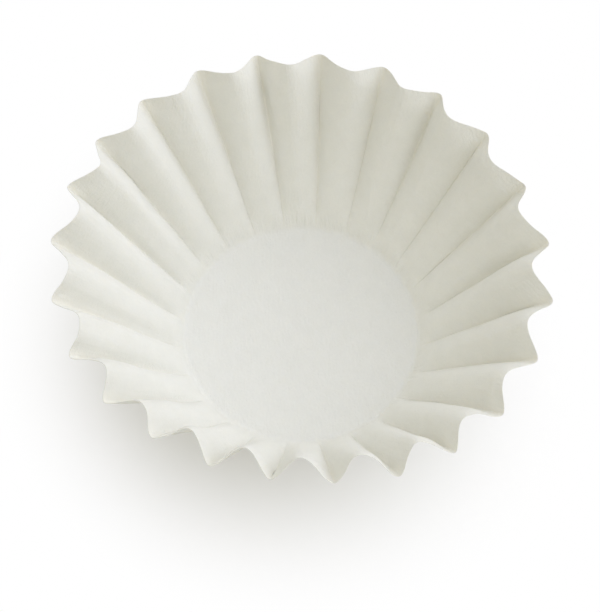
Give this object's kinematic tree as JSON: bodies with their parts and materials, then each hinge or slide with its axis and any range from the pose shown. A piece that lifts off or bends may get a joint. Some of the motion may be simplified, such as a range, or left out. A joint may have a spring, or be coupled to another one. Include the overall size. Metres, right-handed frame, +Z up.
{
  "type": "paper coffee filter",
  "caption": "White paper basket filter with a flat round base and a flared, fluted wall, pressed from one disc of paper.",
  "frame": {"origin": "centre of the flat base, on its lower face", "axes": "+Z up through the open mouth, along the height; -Y towards the viewer of the picture; one inward ridge of the wall lies near +X"},
  "size_m": [0.1839, 0.1755, 0.0684],
  "materials": {
    "filter_paper": "matt, soft white filter paper"
  },
  "bodies": {
    "root": {"filter": "filter_paper"}
  },
  "joints": []
}
